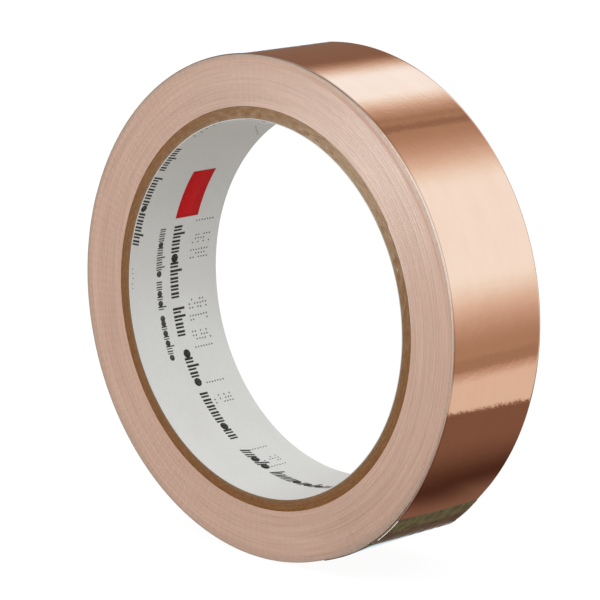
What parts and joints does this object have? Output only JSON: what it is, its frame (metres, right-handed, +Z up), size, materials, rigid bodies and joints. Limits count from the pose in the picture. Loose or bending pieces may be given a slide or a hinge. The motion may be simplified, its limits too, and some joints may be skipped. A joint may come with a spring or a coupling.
{
  "type": "copper foil tape roll",
  "caption": "Roll of adhesive copper foil tape with a release liner, wound on a paperboard core, its loose end closed by a film tab that lifts.",
  "frame": {"origin": "centre of the core's bore, halfway across the tape's width", "axes": "Y along the roll's axis, with the side face that is seen from the front at -Y; +Z up, so the roll stands on its rim; the tape's free end is at the lower right (+X, -Z), and its angles run from +X towards +Z"},
  "size_m": [0.1021, 0.0254, 0.1021],
  "materials": {
    "label_paper": "satin",
    "kraft_board": "matte",
    "wound_edge": "satin",
    "copper_foil": "polished",
    "acrylic_adhesive": "gloss",
    "release_liner": "satin",
    "tab_film": "gloss",
    "tab_adhesive": "satin"
  },
  "bodies": {
    "roll": {"core_label": "label_paper", "core_ply_1": "kraft_board", "core_ply_2": "kraft_board", "core_ply_3": "kraft_board", "core_ply_4": "kraft_board", "wound_turns": "wound_edge", "outer_foil": "copper_foil", "outer_adhesive": "acrylic_adhesive", "outer_liner": "release_liner"},
    "tail": {"tail_foil": "copper_foil", "tail_adhesive": "acrylic_adhesive"},
    "liner_end": {"tail_liner": "release_liner"},
    "tab": {"tab_film": "tab_film", "tab_adhesive": "tab_adhesive"}
  },
  "joints": [
    {"name": "tail_lift", "type": "hinge", "parent": "roll", "child": "tail", "pos_m": [0.04926, 0, -0.01389], "axis": [0, -1, 0], "range_deg": [0, 120]},
    {"name": "liner_peel", "type": "hinge", "parent": "roll", "child": "liner_end", "pos_m": [0.04918, 0, -0.01387], "axis": [0, -1, 0], "range_deg": [0, 60]},
    {"name": "tab_peel", "type": "hinge", "parent": "tail", "child": "tab", "pos_m": [0.03819, 0, -0.0353], "axis": [0, -1, 0], "range_deg": [0, 135]}
  ],
  "couplings": [
    {"joint": "liner_peel", "follows": "tail_lift", "ratio": 0.5}
  ]
}
